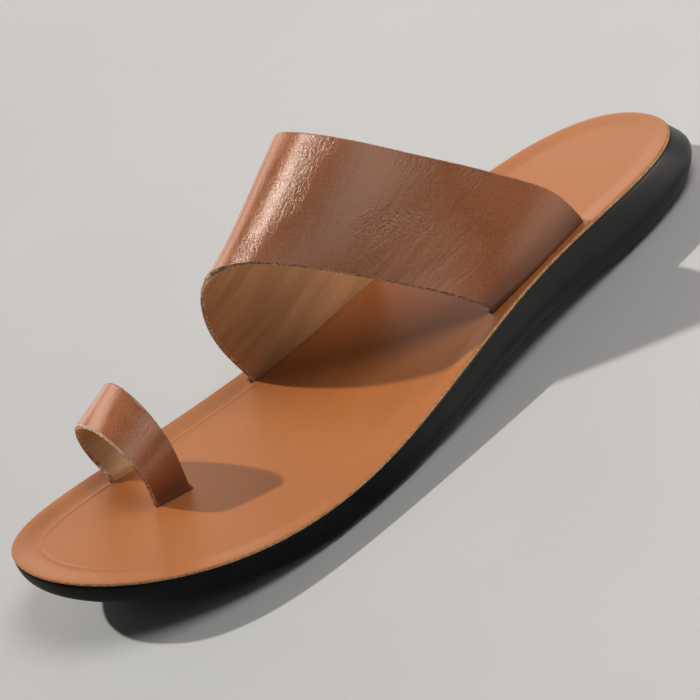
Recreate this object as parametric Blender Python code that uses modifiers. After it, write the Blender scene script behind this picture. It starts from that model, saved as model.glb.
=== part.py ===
"""Left slide sandal: rubber outsole, leather footbed, wide instep band and a ring for the big toe.

Sizes are in millimetres until a mesh is made, which is in metres. The toe points to -Y, the
little-toe (lateral) side to +X and the big-toe (medial) side to -X. The sole stands on z = 0.
"""
import math
from typing import NamedTuple

import bmesh
import bpy
import numpy as np

MM = 0.001

# Driving sizes
SOLE_LENGTH = 280.0
BALL_WIDTH = 102.0
FOOTBED_THICKNESS = 1.2
DISH_DEPTH = 1.6
BAND_WALL = 2.4
BAND_FRONT_HEIGHT = 52.0
BAND_REAR_HEIGHT = 75.0
BAND_REAR_BOW = 8.0
RING_WALL = 2.0
RING_FRONT_HEIGHT = 27.0
RING_REAR_HEIGHT = 37.0
RING_REAR_BOW = 0.0
BAND_LATERAL_BOW = 2.2
RING_LATERAL_BOW = 0.0
FIT_GAP = 0.3

# How finely the curves are divided
OUTLINE_STEPS = 48
FILL_COLUMNS = 4
BAND_COLUMNS = 12
BAND_ARCH_STEPS = 44
RING_COLUMNS = 6
RING_ARCH_STEPS = 36


class SoleSection(NamedTuple):
    """One cross section of the sole, with widths as shares of the ball width."""

    along: float    # share of the length, from the heel
    lateral: float  # footbed edge on the little-toe side of the long axis
    medial: float   # footbed edge on the big-toe side of the long axis
    top: float      # footbed edge above the floor, in mm
    under: float    # underside above the floor, in mm; below zero it is cut level


SOLE_SECTIONS = (
    SoleSection(0.000, 0.035, 0.035, 20.0, 1.0),
    SoleSection(0.030, 0.188, -0.178, 20.5, -0.6),
    SoleSection(0.135, 0.293, -0.316, 22.0, -0.4),
    SoleSection(0.295, 0.365, -0.352, 21.5, 4.5),
    SoleSection(0.445, 0.455, -0.387, 16.8, 3.4),
    SoleSection(0.590, 0.526, -0.435, 12.4, -0.4),
    SoleSection(0.735, 0.522, -0.448, 13.7, 1.6),
    SoleSection(0.860, 0.411, -0.395, 20.0, 8.6),
    SoleSection(0.960, 0.188, -0.287, 27.3, 16.8),
    SoleSection(1.000, -0.100, -0.100, 30.5, 20.5),
)


class WallRow(NamedTuple):
    """One level of the outsole's side wall, as millimetres outside the footbed edge."""

    down: float      # share of the wall's height, from its top
    heel_back: float
    heel_side: float
    forefoot: float


OUTSOLE_WALL = (
    WallRow(0.00, 0.0, 0.0, 0.0),
    WallRow(0.07, 0.5, 0.3, 0.2),
    WallRow(0.30, 3.0, 1.1, 0.5),
    WallRow(0.52, 5.0, 1.6, 0.6),
    WallRow(0.73, 4.0, 1.2, 0.5),
    WallRow(0.90, 0.5, 0.2, -0.5),
    WallRow(1.00, -3.0, -1.8, -2.4),
)
HEEL_SIDE_ENDS = 0.30
FOREFOOT_STARTS = 0.60
HEEL_BACK_TURN = 1.4


class DishRow(NamedTuple):
    """One line of the slope from the footbed's raised rim to its dished middle."""

    inset: float  # from the edge
    share: float  # of the dish's depth


DISH_SLOPE = (
    DishRow(0.0, 0.00),
    DishRow(3.0, 0.23),
    DishRow(6.0, 0.74),
    DishRow(8.5, 1.00),
)
DISH_AT_HEEL = 0.25
DISH_FULL_FROM = 0.5
RIM_ROUND = 0.4


class StrapEdge(NamedTuple):
    """Where one edge of a strap leaves the footbed, and how far its plane leans to the toe."""

    lateral_along: float  # shares of the sole's length, from the heel
    medial_along: float
    lateral_out: float    # shares of the ball width from the long axis
    medial_out: float
    lean: float           # degrees


BAND_FRONT = StrapEdge(0.357, 0.614, 0.319, -0.380, 7.0)
BAND_REAR = StrapEdge(0.190, 0.396, 0.262, -0.328, 9.0)
RING_FRONT = StrapEdge(0.820, 0.841, -0.043, -0.320, -3.0)
RING_REAR = StrapEdge(0.771, 0.795, -0.038, -0.333, -8.0)


class ArchRow(NamedTuple):
    """One point of a strap's two edges, from its lateral end over the top to its medial end."""

    girth: float         # share of the strap's length
    front_across: float  # share of the span between the ends
    front_rise: float    # share of the height
    rear_across: float
    rear_rise: float
    rear_bow: float = 0.0  # share of the rear edge's bow towards the toe


BAND_ARCH = (
    ArchRow(0.00, 0.000, 0.000, 0.000, 0.000, 0.00),
    ArchRow(0.08, 0.090, 0.180, 0.038, 0.205, 0.12),
    ArchRow(0.16, 0.187, 0.340, 0.140, 0.380, 0.43),
    ArchRow(0.25, 0.300, 0.510, 0.280, 0.560, 0.76),
    ArchRow(0.35, 0.430, 0.690, 0.450, 0.740, 1.00),
    ArchRow(0.45, 0.565, 0.855, 0.645, 0.895, 0.89),
    ArchRow(0.54, 0.695, 0.970, 0.840, 0.984, 0.48),
    ArchRow(0.57, 0.740, 0.990, 0.907, 1.000, 0.29),
    ArchRow(0.60, 0.785, 1.000, 0.972, 1.000, 0.10),
    ArchRow(0.63, 0.828, 0.993, 1.022, 0.965, 0.00),
    ArchRow(0.66, 0.868, 0.968, 1.048, 0.890, 0.00),
    ArchRow(0.72, 0.943, 0.850, 1.067, 0.735, 0.00),
    ArchRow(0.80, 1.003, 0.610, 1.062, 0.523, 0.00),
    ArchRow(0.90, 1.022, 0.305, 1.036, 0.260, 0.00),
    ArchRow(1.00, 1.000, 0.000, 1.000, 0.000, 0.00),
)
RING_ARCH = (
    ArchRow(0.00, 0.000, 0.000, 0.000, 0.000),
    ArchRow(0.10, -0.075, 0.285, -0.025, 0.250),
    ArchRow(0.20, -0.045, 0.580, -0.020, 0.500),
    ArchRow(0.30, 0.120, 0.820, 0.095, 0.735),
    ArchRow(0.40, 0.350, 0.975, 0.310, 0.910),
    ArchRow(0.50, 0.630, 1.000, 0.590, 1.000),
    ArchRow(0.60, 0.905, 0.930, 0.865, 0.930),
    ArchRow(0.70, 1.140, 0.770, 1.045, 0.730),
    ArchRow(0.80, 1.245, 0.505, 1.120, 0.490),
    ArchRow(0.90, 1.185, 0.220, 1.095, 0.240),
    ArchRow(1.00, 1.000, 0.000, 1.000, 0.000),
)


class Strap(NamedTuple):
    """One strap of the upper, a sheet of leather between its front and rear edges."""

    name: str
    front: StrapEdge
    rear: StrapEdge
    arch: tuple
    front_height: float
    rear_height: float
    rear_bow: float
    lateral_bow: float  # of the lateral slit, outwards
    wall: float
    columns: int
    arch_steps: int


BAND = Strap("instep_band", BAND_FRONT, BAND_REAR, BAND_ARCH, BAND_FRONT_HEIGHT, BAND_REAR_HEIGHT,
             BAND_REAR_BOW, BAND_LATERAL_BOW, BAND_WALL, BAND_COLUMNS, BAND_ARCH_STEPS)
RING = Strap("toe_ring", RING_FRONT, RING_REAR, RING_ARCH, RING_FRONT_HEIGHT, RING_REAR_HEIGHT,
             RING_REAR_BOW, RING_LATERAL_BOW, RING_WALL, RING_COLUMNS, RING_ARCH_STEPS)

LEG_RISE = 1.0
SLIT_OVERRUN = 4.0
SMOOTH_ANGLE = math.radians(35.0)


def smooth_curve(keys, values):
    """Natural cubic curve through the rows of a table, as a function of its key column."""
    keys = np.asarray(keys, float)
    values = np.asarray(values, float)
    step = np.diff(keys)
    slope = np.diff(values) / step
    system = np.eye(len(keys))
    right = np.zeros(len(keys))
    for i in range(1, len(keys) - 1):
        system[i, i - 1:i + 2] = step[i - 1], 2.0 * (step[i - 1] + step[i]), step[i]
        right[i] = 6.0 * (slope[i] - slope[i - 1])
    bend = np.linalg.solve(system, right)

    def at(key):
        i = np.clip(np.searchsorted(keys, key) - 1, 0, len(step) - 1)
        after = np.asarray(key) - keys[i]
        before = keys[i + 1] - np.asarray(key)
        cubic = (bend[i] * before ** 3 + bend[i + 1] * after ** 3) / (6.0 * step[i])
        left_end = (values[i] / step[i] - bend[i] * step[i] / 6.0) * before
        right_end = (values[i + 1] / step[i] - bend[i + 1] * step[i] / 6.0) * after
        return cubic + left_end + right_end

    return at


def smooth_step(low, high, value):
    share = np.clip((value - low) / (high - low), 0.0, 1.0)
    return share * share * (3.0 - 2.0 * share)


def sole_angle(along):
    """Angle that sweeps a side of the sole from heel (0) to toe (pi), so both ends come out round."""
    return np.arccos(1.0 - 2.0 * np.asarray(along))


along_rows = [row.along for row in SOLE_SECTIONS]
lateral_edge = smooth_curve(sole_angle(along_rows), [row.lateral * BALL_WIDTH for row in SOLE_SECTIONS])
medial_edge = smooth_curve(sole_angle(along_rows), [row.medial * BALL_WIDTH for row in SOLE_SECTIONS])
top_curve = smooth_curve(along_rows, [row.top for row in SOLE_SECTIONS])
under_curve = smooth_curve(along_rows, [row.under for row in SOLE_SECTIONS])


def along_of(y):
    return np.clip(0.5 - y / SOLE_LENGTH, 0.0, 1.0)


def y_of(along):
    return SOLE_LENGTH * (0.5 - along)


def footbed_top(y):
    return top_curve(along_of(y))


def footbed_under(y):
    return footbed_top(y) - FOOTBED_THICKNESS


def outsole_top(y):
    return footbed_under(y) - FIT_GAP


def outsole_under(y):
    return np.maximum(under_curve(along_of(y)), 0.0)


def sole_outline():
    """Footbed edge in plan, from the heel along the lateral side to the toe and back."""
    angles = np.linspace(0.0, math.pi, OUTLINE_STEPS + 1)
    y = y_of(0.5 * (1.0 - np.cos(angles)))
    lateral = np.column_stack([lateral_edge(angles), y])
    medial = np.column_stack([medial_edge(angles), y])
    return np.vstack([lateral, medial[-2:0:-1]])


def outward(outline):
    """Unit vectors square to a closed outline, pointing out of it."""
    tangent = np.roll(outline, -1, axis=0) - np.roll(outline, 1, axis=0)
    normal = np.column_stack([-tangent[:, 1], tangent[:, 0]])
    return normal / np.linalg.norm(normal, axis=1)[:, None]


def ring_at(offset, height):
    """Ring of points beside the footbed edge: offset outwards, and at a height for each y."""
    outline = sole_outline()
    ring = outline + outward(outline) * np.broadcast_to(offset, len(outline))[:, None]
    return np.column_stack([ring, height(ring[:, 1])])


def fill_ring(mesh, ring, height):
    """Close a ring of vertices with rows that run from the lateral to the medial side."""
    count = len(ring)
    rows = [[ring[0]] * (FILL_COLUMNS + 1)]
    for i in range(1, OUTLINE_STEPS):
        start, end = ring[i], ring[count - i]
        row = [start]
        for column in range(1, FILL_COLUMNS):
            x, y, _ = start.co.lerp(end.co, column / FILL_COLUMNS) / MM
            row.append(mesh.verts.new((x * MM, y * MM, float(height(y)) * MM)))
        rows.append(row + [end])
    rows.append([ring[OUTLINE_STEPS]] * (FILL_COLUMNS + 1))
    for near, far in zip(rows, rows[1:]):
        for column in range(FILL_COLUMNS):
            corners = (near[column], near[column + 1], far[column + 1], far[column])
            mesh.faces.new(tuple(dict.fromkeys(corners)))


def loft_rings(name, rings, first_height, last_height):
    """Closed solid through a stack of rings, with its first and last ring filled."""
    mesh = bmesh.new()
    stack = [[mesh.verts.new(point * MM) for point in ring] for ring in rings]
    for lower, upper in zip(stack, stack[1:]):
        for i in range(len(lower)):
            j = (i + 1) % len(lower)
            mesh.faces.new((lower[i], lower[j], upper[j], upper[i]))
    fill_ring(mesh, stack[0], first_height)
    fill_ring(mesh, stack[-1], last_height)
    bmesh.ops.recalc_face_normals(mesh, faces=mesh.faces)
    return finish_mesh(name, mesh)


def finish_mesh(name, mesh):
    data = bpy.data.meshes.new(name)
    mesh.to_mesh(data)
    mesh.free()
    data.shade_smooth()
    data.set_sharp_from_angle(angle=SMOOTH_ANGLE)
    return bpy.data.objects.new(name, data)


def dish_depth(y):
    """How far the middle lies below the rim; the dish runs out towards the heel's end."""
    full = smooth_step(0.0, DISH_FULL_FROM, along_of(y))
    return DISH_DEPTH * (DISH_AT_HEEL + (1.0 - DISH_AT_HEEL) * full)


def dished(level, share=1.0):
    """A level lowered by a share of the dish's depth."""
    return lambda y: level(y) - share * dish_depth(y)


def edge_distance(plan):
    """How far a point of the plan lies inside the footbed's edge."""
    start = sole_outline()
    run = np.roll(start, -1, axis=0) - start
    share = np.clip(np.sum((plan - start) * run, axis=1) / np.sum(run * run, axis=1), 0.0, 1.0)
    return np.linalg.norm(plan - start - run * share[:, None], axis=1).min()


def dish_at(plan, wall):
    """How far the footbed lies below its rim at the outer face of a strap's end."""
    slope = DishRow(*np.array(DISH_SLOPE).T)
    inset = edge_distance(plan) - 0.5 * wall
    return dish_depth(plan[1]) * np.interp(inset, slope.inset, slope.share)


def slope_rings(level):
    """Rings of the dish's slope at a level, from the middle to the rim."""
    return [ring_at(-row.inset, dished(level, row.share)) for row in DISH_SLOPE[:0:-1]]


def make_outsole():
    outline = sole_outline()
    along = along_of(outline[:, 1])
    backward = np.maximum(outward(outline)[:, 1], 0.0) * (along < 0.5)
    fore = smooth_step(HEEL_SIDE_ENDS, FOREFOOT_STARTS, along)
    rings = slope_rings(outsole_top)
    for row in OUTSOLE_WALL:
        side = row.heel_side + (row.forefoot - row.heel_side) * fore
        offset = side + (row.heel_back - side) * backward ** HEEL_BACK_TURN

        def level(y, down=row.down):
            return outsole_top(y) + (outsole_under(y) - outsole_top(y)) * down

        rings.append(ring_at(offset, level))
    return loft_rings("outsole", rings, dished(outsole_top), outsole_under)


def make_footbed():
    rings = slope_rings(footbed_under)
    rings.append(ring_at(0.0, footbed_under))
    rings.append(ring_at(0.0, lambda y: footbed_top(y) - RIM_ROUND))
    rings.append(ring_at(-RIM_ROUND, footbed_top))
    rings.extend(slope_rings(footbed_top)[::-1])
    return loft_rings("footbed", rings, dished(footbed_under), dished(footbed_top))


def strap_ends(strap, share):
    """Plan points of a strap's two ends, at a share of the way from its front to its rear edge."""
    edge = StrapEdge(*(a + (b - a) * share for a, b in zip(strap.front, strap.rear)))
    lateral_bow = strap.lateral_bow * 4.0 * share * (1.0 - share)
    lateral = np.array([edge.lateral_out * BALL_WIDTH + lateral_bow, y_of(edge.lateral_along)])
    medial = np.array([edge.medial_out * BALL_WIDTH, y_of(edge.medial_along)])
    return lateral, medial, math.radians(edge.lean)


def on_footbed(plan, rise):
    """Point over a place of the plan, measured from the level of the footbed's rim."""
    return np.array([plan[0], plan[1], footbed_top(plan[1]) + rise])


def strap_column(strap, share):
    """Points of a strap over the foot: up from the footbed's slit, across and down to the other."""
    lateral, medial, lean = strap_ends(strap, share)
    start = on_footbed(lateral, LEG_RISE)
    span = on_footbed(medial, LEG_RISE) - start
    forward = np.array([span[1], -span[0], 0.0])
    forward *= -np.sign(forward[1]) / np.linalg.norm(forward)
    up = np.array([0.0, 0.0, math.cos(lean)]) + forward * math.sin(lean)
    arch = ArchRow(*np.array(strap.arch).T)
    across = arch.front_across * (1.0 - share) + arch.rear_across * share
    front_rise = arch.front_rise * strap.front_height
    rear_rise = arch.rear_rise * strap.rear_height
    rise = front_rise * (1.0 - share) + rear_rise * share
    bow = arch.rear_bow * strap.rear_bow * share
    girth = np.linspace(0.0, 1.0, strap.arch_steps + 1)
    over = np.tile(start, (len(girth), 1))
    for values, direction in ((across, span), (rise, up), (bow, forward)):
        over += np.outer(smooth_curve(arch.girth, values)(girth), direction)
    lateral_foot = on_footbed(lateral, -FOOTBED_THICKNESS - dish_at(lateral, strap.wall))
    medial_foot = on_footbed(medial, -FOOTBED_THICKNESS - dish_at(medial, strap.wall))
    return np.vstack([lateral_foot, over, medial_foot])


def sheet(name, columns, wall):
    """Sheet of leather through columns of points, thickened evenly to both sides."""
    mesh = bmesh.new()
    grid = [[mesh.verts.new(point * MM) for point in column] for column in columns]
    for here, there in zip(grid, grid[1:]):
        for i in range(len(here) - 1):
            mesh.faces.new((here[i], here[i + 1], there[i + 1], there[i]))
    piece = finish_mesh(name, mesh)
    thicken = piece.modifiers.new("leather thickness", 'SOLIDIFY')
    thicken.thickness = wall * MM
    thicken.offset = 0.0
    thicken.use_even_offset = True
    return piece


def make_strap(strap):
    shares = np.linspace(0.0, 1.0, strap.columns + 1)
    return sheet(strap.name, [strap_column(strap, share) for share in shares], strap.wall)


def make_slit(strap, end, side):
    """Cutter for the slit that one end of a strap passes through, a gap wider all round."""
    front_point = strap_ends(strap, 0.0)[end]
    rear_point = strap_ends(strap, 1.0)[end]
    overrun = FIT_GAP / np.linalg.norm(rear_point - front_point)
    shares = np.linspace(0.0, 1.0, strap.columns + 1)
    shares[0] -= overrun
    shares[-1] += overrun
    columns = []
    for share in shares:
        plan = strap_ends(strap, share)[end]
        low = on_footbed(plan, -FOOTBED_THICKNESS - SLIT_OVERRUN)
        high = on_footbed(plan, SLIT_OVERRUN)
        columns.append(np.vstack([low, high]))
    cutter = sheet(strap.name + "_slit_" + side, columns, strap.wall + 2.0 * FIT_GAP)
    cutter.hide_render = True
    cutter.display_type = 'WIRE'
    return cutter


def make_material(name, colour, roughness):
    material = bpy.data.materials.new(name)
    material.use_nodes = True
    shader = material.node_tree.nodes["Principled BSDF"]
    shader.inputs["Base Color"].default_value = (*colour, 1.0)
    shader.inputs["Roughness"].default_value = roughness
    shader.inputs["Metallic"].default_value = 0.0
    return material


def centre_of(piece):
    """Middle of a piece's plan box, in metres."""
    points = np.array(piece.bound_box)
    return 0.5 * (points.min(axis=0) + points.max(axis=0))


def build():
    for item in list(bpy.data.objects):
        bpy.data.objects.remove(item, do_unlink=True)
    scene = bpy.context.scene
    sandal = bpy.data.collections.new("toe_ring_sandal")
    cutters = bpy.data.collections.new("slit_cutters")
    scene.collection.children.link(sandal)
    scene.collection.children.link(cutters)

    outsole = make_outsole()
    footbed = make_footbed()
    band = make_strap(BAND)
    ring = make_strap(RING)

    slits = []
    for end, side in enumerate(("lateral", "medial")):
        slits.append(make_slit(BAND, end, side))
        slits.append(make_slit(RING, end, side))
    cut = footbed.modifiers.new("strap slits", 'BOOLEAN')
    cut.operation = 'DIFFERENCE'
    cut.operand_type = 'COLLECTION'
    cut.collection = cutters

    origin = bpy.data.objects.new("sandal_origin", None)
    middle = centre_of(outsole)
    origin.location = (-middle[0], -middle[1], 0.0)
    sandal.objects.link(origin)
    finishes = (
        (outsole, make_material("black rubber", (0.020, 0.020, 0.021), 0.62)),
        (footbed, make_material("orange-tan footbed leather", (0.45, 0.19, 0.085), 0.55)),
        (band, make_material("brown band leather", (0.20, 0.085, 0.048), 0.42)),
        (ring, make_material("brown ring leather", (0.20, 0.085, 0.048), 0.42)),
    )
    for piece, material in finishes:
        piece.data.materials.append(material)
        piece.parent = origin
        sandal.objects.link(piece)
    for slit in slits:
        slit.parent = origin
        cutters.objects.link(slit)


build()
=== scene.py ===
"""Looks of a left toe-ring slide sandal: rubber sole, leather footbed, lined instep band and toe ring.

Sizes are in millimetres until a mesh is made, which is in metres. The toe points to -Y, the
little-toe (lateral) side to +X and the big-toe (medial) side to -X. The sole stands on z = 0.
"""
import math
from typing import NamedTuple

import bmesh
import bpy
import numpy as np
from mathutils import Euler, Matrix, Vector


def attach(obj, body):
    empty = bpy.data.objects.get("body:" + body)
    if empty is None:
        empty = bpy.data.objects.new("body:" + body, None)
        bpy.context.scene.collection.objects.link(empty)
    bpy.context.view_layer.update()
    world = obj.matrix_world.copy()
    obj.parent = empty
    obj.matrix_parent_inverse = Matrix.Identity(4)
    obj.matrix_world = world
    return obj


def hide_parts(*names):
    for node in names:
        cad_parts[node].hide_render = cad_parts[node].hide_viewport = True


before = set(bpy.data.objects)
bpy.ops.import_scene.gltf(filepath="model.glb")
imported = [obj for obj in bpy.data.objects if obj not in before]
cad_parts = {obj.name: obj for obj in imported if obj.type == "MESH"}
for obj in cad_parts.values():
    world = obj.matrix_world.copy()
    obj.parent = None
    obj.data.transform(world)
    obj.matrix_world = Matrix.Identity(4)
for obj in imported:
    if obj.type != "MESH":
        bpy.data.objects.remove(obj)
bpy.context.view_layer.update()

MM = 0.001

# Driving sizes, the same as in the solids
SOLE_LENGTH = 280.0
BALL_WIDTH = 102.0
LONG_AXIS = np.array([-4.379, -2.2, 0.0])
FOOTBED_THICKNESS = 1.2
DISH_DEPTH = 1.6
DISH_STARTS = 0.4
DISH_ENDS = 8.8
DISH_AT_HEEL = 0.25
DISH_FULL_FROM = 0.5
FIT_GAP = 0.3
LEG_RISE = 1.0

# Layers of the straps, measured from the glue line between leather and lining
GLUE_LINE = 0.05
EDGE_ROUND = 0.3


class EdgeCuts(NamedTuple):
    """How far a layer's cut edges stand back from the strap's own edges, in mm."""

    upper_front: float
    lower_front: float
    rear: float


LINING_CUTS = EdgeCuts(0.0, 0.9, 0.5)

# How finely the curves are divided
OUTLINE_STEPS = 360
TREAD_COLUMNS = 44
PANEL_COLUMNS = 28
LEG_STEPS = 5
LINING_SHARE = 0.4
GLUE_SIDE_STEPS = 6


class SoleSection(NamedTuple):
    """One cross section of the sole, with widths as shares of the ball width."""

    along: float    # share of the length, from the heel
    lateral: float  # footbed edge on the little-toe side of the long axis
    medial: float   # footbed edge on the big-toe side of the long axis
    top: float      # footbed edge above the floor, in mm
    under: float    # underside above the floor, in mm; below zero it is cut level


SOLE_SECTIONS = (
    SoleSection(0.000, 0.035, 0.035, 20.0, 1.0),
    SoleSection(0.030, 0.188, -0.178, 20.5, -0.6),
    SoleSection(0.135, 0.293, -0.316, 22.0, -0.4),
    SoleSection(0.295, 0.365, -0.352, 21.5, 4.5),
    SoleSection(0.445, 0.455, -0.387, 16.8, 3.4),
    SoleSection(0.590, 0.526, -0.435, 12.4, -0.4),
    SoleSection(0.735, 0.522, -0.448, 13.7, 1.6),
    SoleSection(0.860, 0.411, -0.395, 20.0, 8.6),
    SoleSection(0.960, 0.188, -0.287, 27.3, 16.8),
    SoleSection(1.000, -0.100, -0.100, 30.5, 20.5),
)


class WallRow(NamedTuple):
    """One level of the sole's side wall, as millimetres outside the footbed edge."""

    down: float      # share of the wall's height, from its top
    heel_back: float
    heel_side: float
    forefoot: float


SOLE_WALL = (
    WallRow(0.000, -0.40, -0.40, -0.40),
    WallRow(0.015, -0.10, -0.10, -0.10),
    WallRow(0.070, 0.50, 0.30, 0.20),
    WallRow(0.180, 1.70, 0.72, 0.36),
    WallRow(0.300, 3.00, 1.10, 0.50),
    WallRow(0.420, 4.25, 1.42, 0.57),
    WallRow(0.520, 4.95, 1.60, 0.60),
    WallRow(0.600, 5.00, 1.62, 0.60),
    WallRow(0.640, 4.80, 1.52, 0.60),
    WallRow(0.730, 3.90, 1.15, 0.50),
    WallRow(0.820, 2.40, 0.75, 0.15),
    WallRow(0.900, 0.50, 0.15, -0.50),
    WallRow(0.960, -1.20, -0.75, -1.30),
    WallRow(0.990, -2.40, -1.45, -2.05),
    WallRow(1.000, -3.00, -1.80, -2.40),
)
HEEL_SIDE_ENDS = 0.30
FOREFOOT_STARTS = 0.60
HEEL_BACK_TURN = 1.4

# Shallow wavy grooves under the heel and the ball
TREAD_PITCH = 6.0
TREAD_DEPTH = 0.7
TREAD_WAVE = 2.2
TREAD_WAVE_LENGTH = 21.0
TREAD_BORDER = 6.0
TREAD_FADE = 2.5
TREAD_FLANKS = (0.1, 0.75)
HEEL_TREAD = (0.04, 0.27)
BALL_TREAD = (0.45, 0.95)


class RimRow(NamedTuple):
    """One line of the footbed's rim, from its underside over the cut edge and down into the dish."""

    inset: float  # from the edge
    drop: float   # below the rim, besides the dish
    ridge: float = 0.0  # mm that the pressed line at the foot of the slope stands up


FOOTBED_RIM = (
    *(RimRow(inset, FOOTBED_THICKNESS) for inset in (8.8, 6.0, 3.0, 0.15)),
    RimRow(0.00, FOOTBED_THICKNESS - 0.15),
    RimRow(0.00, 0.75),
    RimRow(0.00, 0.38),
    RimRow(0.10, 0.14),
    RimRow(0.32, 0.02),
    *(RimRow(inset, 0.0) for inset in (0.7, 1.6, 2.6, 3.6, 4.6, 5.6, 6.5, 7.3, 8.0)),
    RimRow(8.60, 0.00, 0.03),
    RimRow(9.00, 0.00, 0.15),
    RimRow(9.35, 0.00, 0.26),
    RimRow(9.70, 0.00, 0.25),
    RimRow(10.10, 0.00, 0.12),
    RimRow(10.60, 0.00, 0.02),
    RimRow(11.20, 0.00),
)
RIDGE_RUN = (0.30, 0.50)
TOE_RIDGE_RUN = (0.87, 0.95)
CUT_EDGE_ROWS = 8
SOLE_DISH_INSETS = (8.8, 6.0, 3.0)


class StrapEdge(NamedTuple):
    """Where one edge of a strap leaves the footbed, and how far its plane leans to the toe."""

    lateral_along: float  # shares of the sole's length, from the heel
    medial_along: float
    lateral_out: float    # shares of the ball width from the long axis
    medial_out: float
    lean: float           # degrees


BAND_FRONT = StrapEdge(0.357, 0.614, 0.319, -0.380, 7.0)
BAND_REAR = StrapEdge(0.190, 0.396, 0.262, -0.328, 9.0)
RING_FRONT = StrapEdge(0.820, 0.841, -0.043, -0.320, -3.0)
RING_REAR = StrapEdge(0.771, 0.795, -0.038, -0.333, -8.0)


class ArchRow(NamedTuple):
    """One point of a strap's two edges, from its lateral end over the top to its medial end."""

    girth: float         # share of the strap's length
    front_across: float  # share of the span between the ends
    front_rise: float    # share of the height
    rear_across: float
    rear_rise: float
    rear_bow: float = 0.0  # share of the rear edge's bow towards the toe


BAND_ARCH = (
    ArchRow(0.00, 0.000, 0.000, 0.000, 0.000),
    ArchRow(0.08, 0.090, 0.180, 0.038, 0.205, 0.12),
    ArchRow(0.16, 0.187, 0.340, 0.140, 0.380, 0.43),
    ArchRow(0.25, 0.300, 0.510, 0.280, 0.560, 0.76),
    ArchRow(0.35, 0.430, 0.690, 0.450, 0.740, 1.00),
    ArchRow(0.45, 0.565, 0.855, 0.645, 0.895, 0.89),
    ArchRow(0.54, 0.695, 0.970, 0.840, 0.984, 0.48),
    ArchRow(0.57, 0.740, 0.990, 0.907, 1.000, 0.29),
    ArchRow(0.60, 0.785, 1.000, 0.972, 1.000, 0.10),
    ArchRow(0.63, 0.828, 0.993, 1.022, 0.965),
    ArchRow(0.66, 0.868, 0.968, 1.048, 0.890),
    ArchRow(0.72, 0.943, 0.850, 1.067, 0.735),
    ArchRow(0.80, 1.003, 0.610, 1.062, 0.523),
    ArchRow(0.90, 1.022, 0.305, 1.036, 0.260),
    ArchRow(1.00, 1.000, 0.000, 1.000, 0.000),
)
RING_ARCH = (
    ArchRow(0.00, 0.000, 0.000, 0.000, 0.000),
    ArchRow(0.10, -0.075, 0.285, -0.025, 0.250),
    ArchRow(0.20, -0.045, 0.580, -0.020, 0.500),
    ArchRow(0.30, 0.120, 0.820, 0.095, 0.735),
    ArchRow(0.40, 0.350, 0.975, 0.310, 0.910),
    ArchRow(0.50, 0.630, 1.000, 0.590, 1.000),
    ArchRow(0.60, 0.905, 0.930, 0.865, 0.930),
    ArchRow(0.70, 1.140, 0.770, 1.045, 0.730),
    ArchRow(0.80, 1.245, 0.505, 1.120, 0.490),
    ArchRow(0.90, 1.185, 0.220, 1.095, 0.240),
    ArchRow(1.00, 1.000, 0.000, 1.000, 0.000),
)


class Strap(NamedTuple):
    """One strap of the upper, a sheet of lined leather between its front and rear edges."""

    front: StrapEdge
    rear: StrapEdge
    arch: tuple
    front_height: float
    rear_height: float
    rear_bow: float
    lateral_bow: float  # of the lateral slit, outwards
    slit_shade_reach: float    # how far the painted shade by the slits reaches
    leather: float      # thickness over the glue line
    lining: float       # and under it
    leather_cuts: EdgeCuts
    girth_steps: int
    width_steps: int


BAND = Strap(front=BAND_FRONT, rear=BAND_REAR, arch=BAND_ARCH, front_height=52.0, rear_height=75.0,
             rear_bow=8.0, lateral_bow=2.2, slit_shade_reach=14.0, leather=1.2, lining=1.2,
             leather_cuts=EdgeCuts(0.9, 0.4, 0.0), girth_steps=500, width_steps=160)
RING = Strap(front=RING_FRONT, rear=RING_REAR, arch=RING_ARCH, front_height=27.0, rear_height=37.0,
             rear_bow=0.0, lateral_bow=0.0, slit_shade_reach=26.0, leather=1.0, lining=1.0,
             leather_cuts=EdgeCuts(0.55, 0.30, 0.0), girth_steps=280, width_steps=60)


class CreaseCluster(NamedTuple):
    """A patch of small creases in a strap's leather."""

    girth: float          # middle of the patch, as a share from the lateral end
    across: float         # and as a share from the front edge to the rear edge
    girth_spread: float   # mm
    across_spread: float  # mm
    lines: int
    length: float         # mm
    slant: float          # degrees off the strap's width
    depth: float          # mm
    netted: float = 0.85  # how strongly a fine net of folds shows around them


BAND_CREASES = (
    CreaseCluster(0.512, 0.86, 2.2, 3.0, 9, 4.0, 5.0, 0.042),
    CreaseCluster(0.514, 0.66, 2.0, 4.5, 12, 4.6, -5.0, 0.045),
    CreaseCluster(0.508, 0.45, 2.2, 3.5, 8, 4.0, -8.0, 0.038),
    CreaseCluster(0.487, 0.90, 2.4, 2.4, 6, 3.6, 4.0, 0.040),
    CreaseCluster(0.562, 0.11, 2.6, 2.6, 9, 3.4, 24.0, 0.045),
    CreaseCluster(0.334, 0.36, 3.8, 4.4, 12, 3.8, -30.0, 0.046),
    CreaseCluster(0.275, 0.44, 5.0, 3.2, 12, 3.6, 58.0, 0.044),
    CreaseCluster(0.229, 0.87, 3.2, 3.0, 8, 3.6, -24.0, 0.044),
    CreaseCluster(0.340, 0.90, 4.4, 2.4, 9, 3.4, 14.0, 0.042),
    CreaseCluster(0.640, 0.45, 3.0, 7.0, 5, 7.0, 5.0, 0.030),
)
RING_CREASES = (
    CreaseCluster(0.340, 0.60, 2.8, 1.6, 9, 7.5, 12.0, 0.030, 0.45),
    CreaseCluster(0.365, 0.30, 2.2, 1.2, 6, 5.0, 14.0, 0.025, 0.45),
    CreaseCluster(0.390, 0.80, 2.0, 1.0, 4, 4.2, 8.0, 0.021, 0.45),
)

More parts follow.
